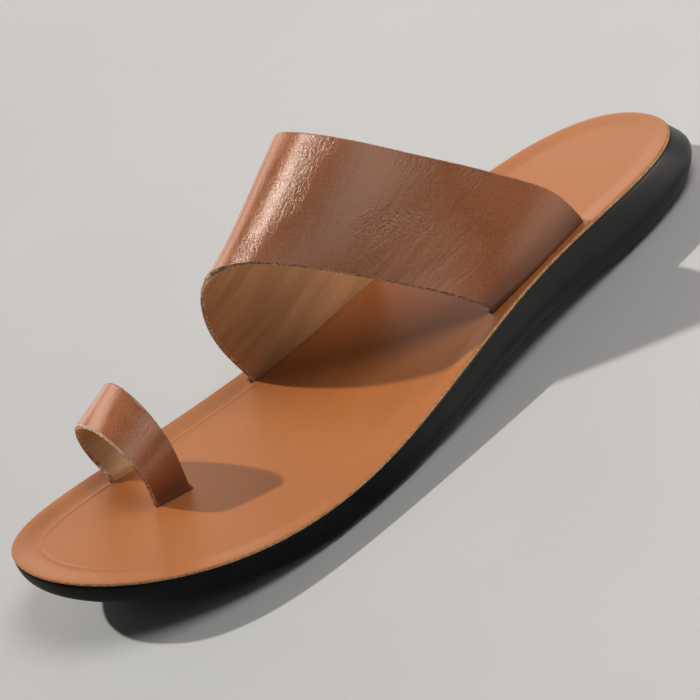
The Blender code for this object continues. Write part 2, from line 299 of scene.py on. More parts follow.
# Section of a crease, and its wave along its length
CREASE_WIDTH = 0.31
CREASE_LIP = 0.5
CREASE_WAVE = 0.26
CREASE_WAVE_RATE = 1.5

# How the creases of a patch differ: shares of its spread, length and depth, and degrees of turn
CREASE_SEED = 11
CREASE_SCATTER = 1.6
CREASE_LENGTHS = (0.5, 1.25)
CREASE_DEPTHS = (0.5, 1.2)
CREASE_TURN = 10.0
CREASE_BOW = 0.10

# Depth at which a crease has its full painted shade and highlight, and how far the net around a patch
# reaches
DEEP_CREASE = 0.04
ZONE_REACH = 1.8

# Length of a strap's end in its slit, and the cutters of the slits
SLIT_DEPTH = 2.2
SLIT_OVERRUN = 4.0
SLIT_STEPS = 16

# Steeper bends between faces are shaded as edges
SMOOTH_ANGLE = math.radians(38.0)

# Puckered leather on the toe's rim: its middle and half sizes in metres, its turn in degrees,
# and the shares of those half sizes between which it fades out
TOE_FOLD_PLACE = (0.0114, -0.1259, 0.0)
TOE_FOLD_REACH = (0.009, 0.0025, 1.0)
TOE_FOLD_TURN = 28.6
TOE_FOLD_FADE = (0.3, 1.0)

# Deep and pale tone between which each surface varies
STRAP_TONES = ((0.345, 0.114, 0.043), (0.395, 0.134, 0.052))
LINING_TONES = ((0.400, 0.220, 0.105), (0.760, 0.470, 0.250))
FOOTBED_TONES = ((0.312, 0.102, 0.026), (0.342, 0.113, 0.031))
FOOTBED_EDGE_TONES = ((0.46, 0.20, 0.075), (0.74, 0.46, 0.23))
# The lining's cut edge: its own cream fibres, with the pale tone raised as painted light where the edge
# sits in shade
LINING_EDGE_TONES = ((0.48, 0.27, 0.14), (0.95, 0.78, 0.58))
# The leather's cut edge is painted dark brown, its deep tone partly a painted shade line along the edge
LEATHER_EDGE_TONES = ((0.17, 0.075, 0.038), (0.38, 0.20, 0.11))
# Band's front cut edge: pale fibre tufts of its own, with the pale tone raised as painted light on an
# edge that sits in shade
BAND_FRONT_LIT_TONES = ((0.22, 0.11, 0.055), (0.92, 0.72, 0.52))
RUBBER_TONES = ((0.003, 0.003, 0.0032), (0.006, 0.006, 0.0063))
FLOOR_TONES = ((0.40, 0.40, 0.40), (0.41, 0.41, 0.41))

# Tones of small marks in the leather, and how much of each shows; pores and toe folds are the leather's
# own, crease troughs get painted shade, crease lips a painted highlight, and the ends by the slits
# painted shade
STRAP_PORE_TONE, STRAP_PORE_SHARE = (0.190, 0.056, 0.018), 0.30
FOOTBED_PORE_TONE, FOOTBED_PORE_SHARE = (0.230, 0.070, 0.016), 0.25
TROUGH_SHADE_TONE, TROUGH_SHADE_SHARE = (0.150, 0.046, 0.016), 0.46
LIP_HIGHLIGHT_TONE, LIP_HIGHLIGHT_SHARE = (0.560, 0.270, 0.150), 0.28
# Painted shade where a strap's ends go down into the footbed's slits
SLIT_SHADE_TONE, SLIT_SHADE_SHARE = (0.085, 0.022, 0.006), 0.8
TOE_FOLD_TONE, TOE_FOLD_SHARE = (0.600, 0.300, 0.150), 0.22

# What the grain, the slits and the rubber's texture add to the roughness
GRAIN_ROUGHNESS = 0.08
SLIT_ROUGHNESS = 0.30
RUBBER_ROUGHNESS = 0.12

# Where the lining is painted lighter behind its front edge, as light coming in at the band's rear
# opening, and the rubber turns satin, in metres
LINING_LIT_RUN = (0.0, 0.035)
SATIN_RUN = (-0.035, 0.008)

# How far the little pads between folds are drawn out across a strap
PAD_STRETCH = 0.42

# Floor, in metres
FLOOR_SIDE = 6.0
FLOOR_DROP = 0.0002

# Camera, at the angle of the picture
IMAGE_SIDE = 700
FOCAL_PIXELS = 2351.0
SENSOR_WIDTH = 36.0
CAMERA_PLACE = (0.674121, -0.151543, 0.478070)
CAMERA_TURN = (52.40016, 25.60242, 59.37554)
CAMERA_CLIP = (0.05, 20.0)

# Tones of the lights, the key light and the dim surroundings
WARM = (1.0, 0.97, 0.93)
NEUTRAL = (1.0, 0.98, 0.96)
KEY_AZIMUTH = -60.0
KEY_HEIGHT = 42.0
KEY_STRENGTH = 3.6
KEY_SPREAD = 2.0
SKY_COLOUR = (0.95, 0.97, 1.0, 1.0)
SKY_STRENGTH = 0.04
LIGHT_DISTANCE = 1.5


class StudioLight(NamedTuple):
    """An area light facing the sandal; one for sheen shows in gloss and lights nothing matte."""

    name: str
    azimuth: float  # degrees from the toe, round to the lateral side
    height: float   # degrees above the floor
    power: float    # W
    colour: tuple
    size: tuple     # m across and upright
    for_sheen: bool = False


STUDIO_LIGHTS = (
    StudioLight("soft_key", -62.0, 42.0, 4.6, WARM, (0.8, 0.8), True),
    StudioLight("rim_sheen", -108.0, 61.0, 4.2, (1.0, 0.95, 0.91), (0.5, 0.5), True),
    StudioLight("rear_top", 150.0, 65.0, 12.5, NEUTRAL, (0.7, 0.7)),
    StudioLight("side_wall", -118.0, 15.0, 6.0, (1.0, 0.92, 0.85), (0.7, 0.7)),
    StudioLight("back_wall", -150.0, 15.0, 2.5, NEUTRAL, (0.7, 0.7)),
    StudioLight("ridge_strip", 3.0, 51.0, 3.1, (1.0, 0.97, 0.94), (0.3, 0.24), True),
    StudioLight("front_sheen", 68.0, 35.0, 3.6, (1.0, 0.94, 0.90), (1.0, 1.0), True),
    StudioLight("inner_wall", -86.0, 10.0, 2.6, WARM, (0.8, 0.8)),
    StudioLight("rear_low", 150.0, 8.0, 5.5, WARM, (0.5, 0.3)),
)


def smooth_curve(keys, values):
    """Natural cubic curve through the rows of a table, as a function of its key column."""
    keys = np.asarray(keys, float)
    values = np.asarray(values, float)
    step = np.diff(keys)
    slope = np.diff(values) / step
    system = np.eye(len(keys))
    right = np.zeros(len(keys))
    for i in range(1, len(keys) - 1):
        system[i, i - 1:i + 2] = step[i - 1], 2.0 * (step[i - 1] + step[i]), step[i]
        right[i] = 6.0 * (slope[i] - slope[i - 1])
    bend = np.linalg.solve(system, right)

    def at(key):
        i = np.clip(np.searchsorted(keys, key) - 1, 0, len(step) - 1)
        after = np.asarray(key) - keys[i]
        before = keys[i + 1] - np.asarray(key)
        cubic = (bend[i] * before ** 3 + bend[i + 1] * after ** 3) / (6.0 * step[i])
        left_end = (values[i] / step[i] - bend[i] * step[i] / 6.0) * before
        right_end = (values[i + 1] / step[i] - bend[i + 1] * step[i] / 6.0) * after
        return cubic + left_end + right_end

    return at


def smooth_step(low, high, value):
    share = np.clip((value - low) / (high - low), 0.0, 1.0)
    return share * share * (3.0 - 2.0 * share)


def sole_angle(along):
    """Angle that sweeps a side of the sole from heel (0) to toe (pi), so both ends come out round."""
    return np.arccos(1.0 - 2.0 * np.asarray(along))


along_rows = [row.along for row in SOLE_SECTIONS]
lateral_edge = smooth_curve(sole_angle(along_rows), [row.lateral * BALL_WIDTH for row in SOLE_SECTIONS])
medial_edge = smooth_curve(sole_angle(along_rows), [row.medial * BALL_WIDTH for row in SOLE_SECTIONS])
top_curve = smooth_curve(along_rows, [row.top for row in SOLE_SECTIONS])
under_curve = smooth_curve(along_rows, [row.under for row in SOLE_SECTIONS])


def along_of(y):
    return np.clip(0.5 - y / SOLE_LENGTH, 0.0, 1.0)


def y_of(along):
    return SOLE_LENGTH * (0.5 - along)


def footbed_top(y):
    return top_curve(along_of(y))


def footbed_under(y):
    return footbed_top(y) - FOOTBED_THICKNESS


def sole_top(y):
    return footbed_under(y) - FIT_GAP


def sole_under(y):
    return np.maximum(under_curve(along_of(y)), 0.0)


def dish_depth(y):
    """How far the middle lies below the rim; the dish runs out towards the heel's end."""
    full = smooth_step(0.0, DISH_FULL_FROM, along_of(y))
    return DISH_DEPTH * (DISH_AT_HEEL + (1.0 - DISH_AT_HEEL) * full)


def dish_at_inset(y, inset):
    """How far a line beside the footbed's edge lies below the rim."""
    return dish_depth(y) * smooth_step(DISH_STARTS, DISH_ENDS, inset)


def sole_outline():
    """Footbed edge in plan, from the heel along the lateral side to the toe and back."""
    angles = np.linspace(0.0, math.pi, OUTLINE_STEPS + 1)
    y = y_of(0.5 * (1.0 - np.cos(angles)))
    lateral = np.column_stack([lateral_edge(angles), y])
    medial = np.column_stack([medial_edge(angles), y])
    return np.vstack([lateral, medial[-2:0:-1]])


def outward(outline):
    """Unit vectors square to a closed outline, pointing out of it."""
    tangent = np.roll(outline, -1, axis=0) - np.roll(outline, 1, axis=0)
    normal = np.column_stack([-tangent[:, 1], tangent[:, 0]])
    return normal / np.linalg.norm(normal, axis=1)[:, None]


def ring_at(offset, height):
    """Ring of points beside the footbed edge: offset outwards, and at a height for each y."""
    outline = sole_outline()
    ring = outline + outward(outline) * np.broadcast_to(offset, len(outline))[:, None]
    return np.column_stack([ring, height(ring[:, 1])])


def add_object(name, data):
    """New object in the scene."""
    made = bpy.data.objects.new(name, data)
    bpy.context.scene.collection.objects.link(made)
    return made


class Shape:
    """Points in millimetres and faces, each with the number of its finish."""

    def __init__(self):
        self.points = []
        self.faces = []
        self.finishes = []
        self.count = 0

    def add_points(self, points):
        """Adds rows of points and returns their numbers."""
        points = np.asarray(points, float)
        flat = points.reshape(-1, 3)
        numbers = np.arange(self.count, self.count + len(flat)).reshape(points.shape[:-1])
        self.points.append(flat)
        self.count += len(flat)
        return numbers

    def add_face(self, corners, finish):
        corners = tuple(dict.fromkeys(int(corner) for corner in corners))
        if len(corners) > 2:
            self.faces.append(corners)
            self.finishes.append(finish)

    def add_rows(self, numbers, finish, closed=False):
        """Faces between rows of numbered points; finish is one number or one for each column."""
        rows, columns = numbers.shape
        last = columns if closed else columns - 1
        finish = np.broadcast_to(finish, last)
        for upper, lower in zip(numbers, numbers[1:]):
            for i in range(last):
                j = (i + 1) % columns
                self.add_face((upper[i], upper[j], lower[j], lower[i]), int(finish[i]))

    def make(self, name, finishes):
        """Mesh object of the shape, standing in the frame."""
        points = (np.vstack(self.points) + LONG_AXIS) * MM
        data = bpy.data.meshes.new(name)
        data.from_pydata(points.tolist(), [], self.faces)
        data.polygons.foreach_set("material_index", self.finishes)
        mesh = bmesh.new()
        mesh.from_mesh(data)
        bmesh.ops.recalc_face_normals(mesh, faces=mesh.faces)
        mesh.to_mesh(data)
        mesh.free()
        data.shade_smooth()
        data.set_sharp_from_angle(angle=SMOOTH_ANGLE)
        for finish in finishes:
            data.materials.append(finish)
        return add_object(name, data)


def fill_ring(shape, numbers, ring, columns, height, finish):
    """Close a ring of points with rows that run from the lateral to the medial side."""
    count = len(ring)
    shares = np.linspace(0.0, 1.0, columns + 1)
    rows = [[numbers[0]] * (columns + 1)]
    for i in range(1, OUTLINE_STEPS):
        start, end = ring[i], ring[count - i]
        inner = start + (end - start) * shares[1:-1, None]
        width = abs(end[0] - start[0])
        inner[:, 2] = height(inner, np.minimum(shares[1:-1], 1.0 - shares[1:-1]) * width)
        middle = shape.add_points(inner)
        rows.append([numbers[i], *middle, numbers[count - i]])
    rows.append([numbers[OUTLINE_STEPS]] * (columns + 1))
    shape.add_rows(np.array(rows), finish)


def tread_groove(points, border):
    """Depth of the tread's grooves under the heel and the ball, away from the sole's edge."""
    along = along_of(points[:, 1])
    wave = TREAD_WAVE * np.sin(points[:, 0] * 2.0 * math.pi / TREAD_WAVE_LENGTH)
    turn = np.cos((points[:, 1] + wave) * 2.0 * math.pi / TREAD_PITCH)
    groove = smooth_step(*TREAD_FLANKS, turn)
    fade = TREAD_FADE / SOLE_LENGTH
    zones = np.zeros(len(points))
    for start, end in (HEEL_TREAD, BALL_TREAD):
        zone = smooth_step(start, start + fade, along) * (1.0 - smooth_step(end - fade, end, along))
        zones = np.maximum(zones, zone)
    inside = smooth_step(TREAD_BORDER - TREAD_FADE, TREAD_BORDER, border)
    return TREAD_DEPTH * groove * zones * inside


def make_sole(wall_finish, tread_finish):
    outline = sole_outline()
    along = along_of(outline[:, 1])
    backward = np.maximum(outward(outline)[:, 1], 0.0) * (along < 0.5)
    fore = smooth_step(HEEL_SIDE_ENDS, FOREFOOT_STARTS, along)
    rings = []
    for inset in SOLE_DISH_INSETS:
        rings.append(ring_at(-inset, lambda y, inset=inset: sole_top(y) - dish_at_inset(y, inset)))
    for row in SOLE_WALL:
        side = row.heel_side + (row.forefoot - row.heel_side) * fore
        offset = side + (row.heel_back - side) * backward ** HEEL_BACK_TURN

        def level(y, down=row.down):
            return sole_top(y) + (sole_under(y) - sole_top(y)) * down

        rings.append(ring_at(offset, level))
    shape = Shape()
    wall, tread = 0, 1
    numbers = shape.add_points(rings)
    shape.add_rows(numbers, wall, closed=True)
    fill_ring(shape, numbers[0], rings[0], PANEL_COLUMNS,
              lambda p, border: sole_top(p[:, 1]) - dish_depth(p[:, 1]), tread)
    fill_ring(shape, numbers[-1], rings[-1], TREAD_COLUMNS,
              lambda p, border: sole_under(p[:, 1]) + tread_groove(p, border), tread)
    return shape.make("rubber_sole", (wall_finish, tread_finish))


def make_footbed(top_finish, edge_finish):
    along = along_of(sole_outline()[:, 1])
    medial = np.arange(len(along)) > OUTLINE_STEPS
    ridge = np.where(medial, smooth_step(*RIDGE_RUN, along), smooth_step(*TOE_RIDGE_RUN, along))
    rings = []
    for row in FOOTBED_RIM:

        def level(y, row=row):
            return footbed_top(y) - row.drop - dish_at_inset(y, row.inset) + row.ridge * ridge

        rings.append(ring_at(-row.inset, level))
    shape = Shape()
    top, edge = 0, 1
    numbers = shape.add_points(rings)
    shape.add_rows(numbers[:CUT_EDGE_ROWS], edge, closed=True)
    shape.add_rows(numbers[CUT_EDGE_ROWS - 1:], top, closed=True)
    fill_ring(shape, numbers[0], rings[0], PANEL_COLUMNS,
              lambda p, border: footbed_under(p[:, 1]) - dish_depth(p[:, 1]), edge)
    fill_ring(shape, numbers[-1], rings[-1], PANEL_COLUMNS,
              lambda p, border: footbed_top(p[:, 1]) - dish_depth(p[:, 1]), top)
    return shape.make("leather_footbed", (top_finish, edge_finish))


def strap_ends(strap, share):
    """Plan points of a strap's two ends, at a share of the way from its front to its rear edge."""
    edge = StrapEdge(*(a + (b - a) * share for a, b in zip(strap.front, strap.rear)))
    lateral_bow = strap.lateral_bow * 4.0 * share * (1.0 - share)
    lateral = np.array([edge.lateral_out * BALL_WIDTH + lateral_bow, y_of(edge.lateral_along)])
    medial = np.array([edge.medial_out * BALL_WIDTH, y_of(edge.medial_along)])
    return lateral, medial, math.radians(edge.lean)


def edge_distance(plan):
    """How far a point of the plan lies inside the footbed's edge."""
    return np.linalg.norm(sole_outline() - plan, axis=1).min()


def on_footbed(plan, rise):
    """Point over a place of the plan, measured from the level of the footbed's rim."""
    return np.array([plan[0], plan[1], footbed_top(plan[1]) + rise])


def strap_column(strap, share, girth):
    """Points of a strap over the foot: up from the footbed's slit, across and down to the other."""
    lateral, medial, lean = strap_ends(strap, share)
    start = on_footbed(lateral, LEG_RISE)
    span = on_footbed(medial, LEG_RISE) - start
    forward = np.array([span[1], -span[0], 0.0])
    forward *= -np.sign(forward[1]) / np.linalg.norm(forward)
    up = np.array([0.0, 0.0, math.cos(lean)]) + forward * math.sin(lean)
    arch = ArchRow(*np.array(strap.arch).T)
    across = arch.front_across * (1.0 - share) + arch.rear_across * share
    front_rise = arch.front_rise * strap.front_height
    rear_rise = arch.rear_rise * strap.rear_height
    rise = front_rise * (1.0 - share) + rear_rise * share
    bow = arch.rear_bow * strap.rear_bow * share
    over = np.tile(start, (len(girth), 1))
    for values, direction in ((across, span), (rise, up), (bow, forward)):
        over += np.outer(smooth_curve(arch.girth, values)(girth), direction)
    legs = []
    for plan in (lateral, medial):
        inset = edge_distance(plan) - 0.5 * (strap.leather + strap.lining)
        foot = -FOOTBED_THICKNESS - dish_at_inset(plan[1], inset)
        legs.append([on_footbed(plan, rise) for rise in np.linspace(foot, LEG_RISE, LEG_STEPS + 1)[:-1]])
    return np.vstack([legs[0], over, legs[1][::-1]])


def strap_surface(strap, shares, girth_steps):
    """Middle layer of a strap: a row of points for each step of girth, a column for each share."""
    girth = np.linspace(0.0, 1.0, girth_steps + 1)
    points = np.stack([strap_column(strap, share, girth) for share in shares], axis=1)
    along = np.gradient(points, axis=0)
    across = np.gradient(points, shares, axis=1)
    normals = np.cross(along, across)
    normals /= np.linalg.norm(normals, axis=2)[:, :, None]
    if normals[len(normals) // 2, 0, 2] < 0.0:
        normals = -normals
    return points, normals


def flat_places(points):
    """Where each point of a strap lies on the flat cut leather, in mm along and across it."""
    steps = np.linalg.norm(np.diff(points, axis=0), axis=2).mean(axis=1)
    along = np.concatenate([[0.0], np.cumsum(steps)])
    widths = np.linalg.norm(np.diff(points, axis=1), axis=2)
    across = np.concatenate([np.zeros((len(points), 1)), np.cumsum(widths, axis=1)], axis=1)
    return np.broadcast_to(along[:, None], across.shape), across


def crease_relief(clusters, along, across):
    """Height of the creases over a strap's flat leather: soft troughs with raised lips."""
    draw = np.random.default_rng(CREASE_SEED)
    relief = np.zeros(along.shape)
    full_length = along.max()
    full_width = across[:, -1].mean()
    for cluster in clusters:
        for _ in range(cluster.lines):
            scatter = draw.uniform(-CREASE_SCATTER, CREASE_SCATTER)
            middle_along = cluster.girth * full_length + scatter * cluster.girth_spread
            scatter = draw.uniform(-CREASE_SCATTER, CREASE_SCATTER)
            middle_across = cluster.across * full_width + scatter * cluster.across_spread
            length = cluster.length * draw.uniform(*CREASE_LENGTHS)
            turn = math.radians(cluster.slant + draw.normal() * CREASE_TURN)
            bow = draw.normal() * CREASE_BOW * length
            wave_start = draw.uniform(0.0, 2.0 * math.pi)
            depth = cluster.depth * draw.uniform(*CREASE_DEPTHS)
            a = along - middle_along
            b = across - middle_across
            line = (b * math.cos(turn) + a * math.sin(turn)) / (0.5 * length)
            wave = CREASE_WAVE * np.sin(line * 0.5 * length * CREASE_WAVE_RATE + wave_start)
            aside = a * math.cos(turn) - b * math.sin(turn) - bow * line * line - wave
            taper = np.clip(1.0 - line * line, 0.0, 1.0)
            trough = np.exp(-(aside / CREASE_WIDTH) ** 2)
            lip = np.exp(-((np.abs(aside) - 2.0 * CREASE_WIDTH) / CREASE_WIDTH) ** 2)
            relief += depth * taper * (CREASE_LIP * lip - trough)
    return relief


def crease_zone(clusters, along, across):
    """Where a strap's leather is wrinkled: near 1 in the middle of a patch of creases, 0 outside."""
    calm = np.ones(along.shape)
    full_length = along.max()
    full_width = across[:, -1].mean()
    for cluster in clusters:
        a = (along - cluster.girth * full_length) / (cluster.girth_spread * ZONE_REACH)
        b = (across - cluster.across * full_width) / (cluster.across_spread + 0.5 * cluster.length)
        calm *= 1.0 - cluster.netted * np.exp(-a * a - b * b)
    return 1.0 - calm


def add_point_values(piece, name, kind, key, values):
    """Values that a piece's mesh carries at its points, for its finish."""
    piece.data.attributes.new(name, kind, 'POINT').data.foreach_set(key, values.ravel())


def make_layer(name, strap, low, high, finishes, steps, cuts, clusters=()):
    """One sheet of a strap between two heights over its glue line, with softly rounded cut edges."""
    girth_steps, upper_steps, lower_steps = steps
    width = np.linalg.norm(strap_ends(strap, 1.0)[0] - strap_ends(strap, 0.0)[0])

    def side(width_steps, height, front, creases):
        """Points, flat places and crease heights of one side, with a column on each cut edge."""
        first, last = front / width, 1.0 - cuts.rear / width
        inset = EDGE_ROUND / width
        inner = np.linspace(first + inset, last - inset, width_steps + 1)
        points, normals = strap_surface(strap, np.concatenate([[first], inner, [last]]), girth_steps)
        along, across = flat_places(points)
        relief = crease_relief(creases, along, across)
        raised = np.full(along.shape, height)
        raised[:, 1:-1] += relief[:, 1:-1]
        raised[:, [0, -1]] += EDGE_ROUND if height == low else -EDGE_ROUND
        places = np.stack([along, across, crease_zone(creases, along, across)], axis=2)
        return points + normals * raised[:, :, None], places, relief

    upper, upper_places, upper_relief = side(upper_steps, high, cuts.upper_front, clusters)
    lower, lower_places, lower_relief = side(lower_steps, low, cuts.lower_front, ())
    shape = Shape()
    numbers = shape.add_points(np.concatenate([upper, lower[:, ::-1]], axis=1))
    face, front_edge, back, rear_edge = 0, 1, 2, 3
    pattern = [front_edge] + [face] * upper_steps + [rear_edge] * 3
    pattern += [back] * lower_steps + [front_edge] * 2
    shape.add_rows(numbers, pattern, closed=True)
    shape.add_face(numbers[0], rear_edge)
    shape.add_face(numbers[-1], rear_edge)
    piece = shape.make(name, finishes)
    places = np.concatenate([upper_places, lower_places[:, ::-1]], axis=1)
    add_point_values(piece, "flat_leather", 'FLOAT_VECTOR', "vector", places * (MM, MM, 1.0))
    relief = np.concatenate([upper_relief, lower_relief[:, ::-1]], axis=1)
    # Crease heights also set the colour: a deep trough takes the full painted shade, and its lips the
    # painted highlight
    add_point_values(piece, "crease", 'FLOAT', "value", relief / DEEP_CREASE)
    along = places[:, :, 0]
    from_slit = np.minimum(along, along.max() - along)
    # Painted shade by the slits: 1 where a strap goes into the footbed, fading to 0 further up
    painted_slit_shade = 1.0 - smooth_step(SLIT_DEPTH, strap.slit_shade_reach, from_slit)
    add_point_values(piece, "painted_slit_shade", 'FLOAT', "value", painted_slit_shade)
    return piece


def make_slit(strap, end):
    """Cutter for the slit that one end of a strap passes through, a gap wider all round."""
    overrun = FIT_GAP / np.linalg.norm(strap_ends(strap, 1.0)[end] - strap_ends(strap, 0.0)[end])
    shares = np.linspace(0.0, 1.0, SLIT_STEPS + 1)
    shares[[0, -1]] += -overrun, overrun
    middle = np.array([strap_ends(strap, share)[end] for share in shares])
    run = np.gradient(middle, axis=0)
    run /= np.linalg.norm(run, axis=1)[:, None]
    aside = np.column_stack([-run[:, 1], run[:, 0]]) * (0.5 * (strap.leather + strap.lining) + FIT_GAP)
    corners = np.vstack([middle - aside, (middle + aside)[::-1]])
    shape = Shape()
    low = [on_footbed(corner, -FOOTBED_THICKNESS - SLIT_OVERRUN) for corner in corners]
    high = [on_footbed(corner, SLIT_OVERRUN) for corner in corners]
    numbers = shape.add_points([low, high])
    shape.add_rows(numbers, 0, closed=True)
    for level in numbers:
        shape.add_rows(np.array([level[:SLIT_STEPS + 1], level[:SLIT_STEPS:-1]]), 0)
    return shape.make("slit_cutter", ())


def cut_slits(footbed):
    for strap in (BAND, RING):
        for end in (0, 1):
            cutter = make_slit(strap, end)
            cut = footbed.modifiers.new("slit", 'BOOLEAN')
            cut.operation = 'DIFFERENCE'
            cut.object = cutter
            bpy.context.view_layer.update()
            cut_mesh = bpy.data.meshes.new_from_object(
                footbed.evaluated_get(bpy.context.evaluated_depsgraph_get()))
            footbed.modifiers.clear()
            footbed.data = cut_mesh
            bpy.data.objects.remove(cutter, do_unlink=True)


def set_inputs(tree, node, inputs):
    """Sets inputs of a node to values, or links them to other nodes."""
    for key, value in inputs.items():
        if isinstance(value, bpy.types.NodeSocket):
            tree.links.new(value, node.inputs[key])
        else:
            node.inputs[key].default_value = value


def add_node(tree, kind, inputs=None, **settings):
    node = tree.nodes.new(kind)
    for key, value in settings.items():
        setattr(node, key, value)
    set_inputs(tree, node, inputs or {})
    return node


def maths(tree, operation, first, second):
    return add_node(tree, 'ShaderNodeMath', {0: first, 1: second}, operation=operation).outputs[0]


def scaled(tree, value, factor):
    return maths(tree, 'MULTIPLY', value, factor)


def ramp(tree, share, low, high, to_low=0.0, to_high=1.0):
    """Smooth change from one value to another as a share rises through a range."""
    node = add_node(tree, 'ShaderNodeMapRange', {
        'Value': share, 'From Min': low, 'From Max': high, 'To Min': to_low, 'To Max': to_high,
    }, interpolation_type='SMOOTHSTEP')
    return node.outputs[0]


def blend(tree, share, first, second):
    """Colour between two colours."""
    colours = [(*value, 1.0) if isinstance(value, tuple) else value for value in (first, second)]
    inputs = {'Factor': share, 6: colours[0], 7: colours[1]}
    return add_node(tree, 'ShaderNodeMix', inputs, data_type='RGBA').outputs[2]


def noise(tree, place, scale, detail=3.0, roughness=0.5, distortion=0.0):
    node = add_node(tree, 'ShaderNodeTexNoise', {
        'Vector': place, 'Scale': scale, 'Detail': detail, 'Roughness': roughness,
        'Distortion': distortion,
    })
    return node.outputs['Fac']


def drifted(tree, place, patches, reach):
    """Places shifted about by soft noise, so that the cells of a pattern come out uneven."""
    drift = add_node(tree, 'ShaderNodeTexNoise', {'Vector': place, 'Scale': patches, 'Detail': 2.0})
    spread = add_node(tree, 'ShaderNodeVectorMath', {0: drift.outputs['Color'], 'Scale': reach},
                      operation='SCALE')
    moved = add_node(tree, 'ShaderNodeVectorMath', {0: place, 1: spread.outputs[0]}, operation='ADD')
    return moved.outputs[0]


def coarse_and_fine(tree, coarse, fine):
    """Height of a coarse pattern with a finer one on it."""
    return maths(tree, 'ADD', scaled(tree, coarse, 0.6), scaled(tree, fine, 0.4))


def new_group(name, place, numbers, outputs):
    """Empty node group with named sockets; returns its tree, its inputs and its output node."""
    tree = bpy.data.node_groups.new(name, 'ShaderNodeTree')
    tree.interface.new_socket(place, in_out='INPUT', socket_type='NodeSocketVector')
    for label, value in numbers.items():
        socket = tree.interface.new_socket(label, in_out='INPUT', socket_type='NodeSocketFloat')
        socket.default_value = value
    for label in outputs:
        tree.interface.new_socket(label, in_out='OUTPUT', socket_type='NodeSocketFloat')
    entry = tree.nodes.new('NodeGroupInput')
    result = tree.nodes.new('NodeGroupOutput')
    return tree, entry.outputs, result


def leather_grain_group():
    """Fine pebbled grain of smooth leather with pores: heights and pores from 0 to 1."""
    tree, given, result = new_group("leather grain", "Place", {"Cells per metre": 1100.0},
                                    ["Height", "Pores"])
    cells = add_node(tree, 'ShaderNodeTexVoronoi', {
        'Vector': drifted(tree, given["Place"], patches=420.0, reach=0.0012),
        'Scale': given["Cells per metre"],
    }, feature='F1')
    pebble = ramp(tree, cells.outputs['Distance'], 0.15, 0.75, 1.0, 0.0)
    fine = noise(tree, given["Place"], scaled(tree, given["Cells per metre"], 2.3), detail=2.0)
    set_inputs(tree, result, {
        "Height": coarse_and_fine(tree, pebble, fine),
        "Pores": ramp(tree, pebble, 0.0, 0.35, 1.0, 0.0),
    })
    return tree


def cloudy_tone_group():
    """Soft patches of deeper and paler tone, as in hide that took its dye unevenly."""
    tree, given, result = new_group("cloudy tone", "Place", {"Patches per metre": 40.0}, ["Share"])
    patches = noise(tree, given["Place"], given["Patches per metre"],
                    detail=4.0, roughness=0.55, distortion=0.6)
    set_inputs(tree, result, {"Share": ramp(tree, patches, 0.32, 0.68)})
    return tree


def raw_fibre_group():
    """Torn fibres of a raw cut edge: heights and pale tufts from 0 to 1."""
    tree, given, result = new_group("raw fibre", "Place", {"Tufts per metre": 900.0}, ["Height", "Tufts"])
    tufts = noise(tree, given["Place"], given["Tufts per metre"], detail=4.0, roughness=0.7)
    hairs = noise(tree, given["Place"], scaled(tree, given["Tufts per metre"], 3.0),
                  detail=2.0, roughness=0.6)
    set_inputs(tree, result, {
        "Height": coarse_and_fine(tree, tufts, hairs),
        "Tufts": ramp(tree, tufts, 0.40, 0.64),
    })
    return tree


def pull_streak_group():
    """Long soft streaks that run across a strap, on its flat leather."""
    tree, given, result = new_group("pull streaks", "Flat place", {
        "Streaks per metre": 140.0, "Stretch": 0.12, "Slant": 0.0,
    }, ["Streaks"])
    parts = add_node(tree, 'ShaderNodeSeparateXYZ', {0: given["Flat place"]}).outputs
    shifted = maths(tree, 'ADD', parts['X'], scaled(tree, parts['Y'], given["Slant"]))
    squeezed = scaled(tree, parts['Y'], given["Stretch"])
    place = add_node(tree, 'ShaderNodeCombineXYZ', {0: shifted, 1: squeezed}).outputs[0]
    streaks = noise(tree, place, given["Streaks per metre"], distortion=0.3)
    set_inputs(tree, result, {"Streaks": ramp(tree, streaks, 0.36, 0.66)})
    return tree


def crease_net_group():
    """Fine net of folds in wrinkled leather: 1 on the little pads, 0 in the folds between them."""
    tree, given, result = new_group("crease net", "Place", {"Pads per metre": 700.0}, ["Height"])
    pads = add_node(tree, 'ShaderNodeTexVoronoi', {
        'Vector': drifted(tree, given["Place"], patches=500.0, reach=0.0016),
        'Scale': given["Pads per metre"],
    }, feature='DISTANCE_TO_EDGE')
    set_inputs(tree, result, {"Height": ramp(tree, pads.outputs['Distance'], 0.0, 0.24)})
    return tree


grain_group = leather_grain_group()
net_group = crease_net_group()
tone_group = cloudy_tone_group()
fibre_group = raw_fibre_group()
streak_group = pull_streak_group()


def place_group(tree, group, inputs):
    return add_node(tree, 'ShaderNodeGroup', inputs, node_tree=group).outputs


def new_material(name):
    """Material with its node tree, its Principled shader and the place of each point in the frame."""
    material = bpy.data.materials.new(name)
    material.use_nodes = True
    tree = material.node_tree
    shader = tree.nodes["Principled BSDF"]
    place = add_node(tree, 'ShaderNodeTexCoord').outputs['Object']
    return material, tree, shader, place


def point_values(tree, name):
    """What a strap's mesh carries at its points."""
    return add_node(tree, 'ShaderNodeAttribute', attribute_name=name).outputs


def bump(tree, height, under=None, *, strength, distance):
    inputs = {'Height': height, 'Strength': strength, 'Distance': distance}
    if under is not None:
        inputs['Normal'] = under
    return add_node(tree, 'ShaderNodeBump', inputs).outputs[0]


def net_folds(tree, place, zone, pads):
    """Folds of the crease net: 1 in a fold in the middle of a wrinkled zone, 0 outside the zone."""
    net = place_group(tree, net_group, {"Place": place, "Pads per metre": pads})
    return scaled(tree, maths(tree, 'SUBTRACT', 1.0, net["Height"]), zone)


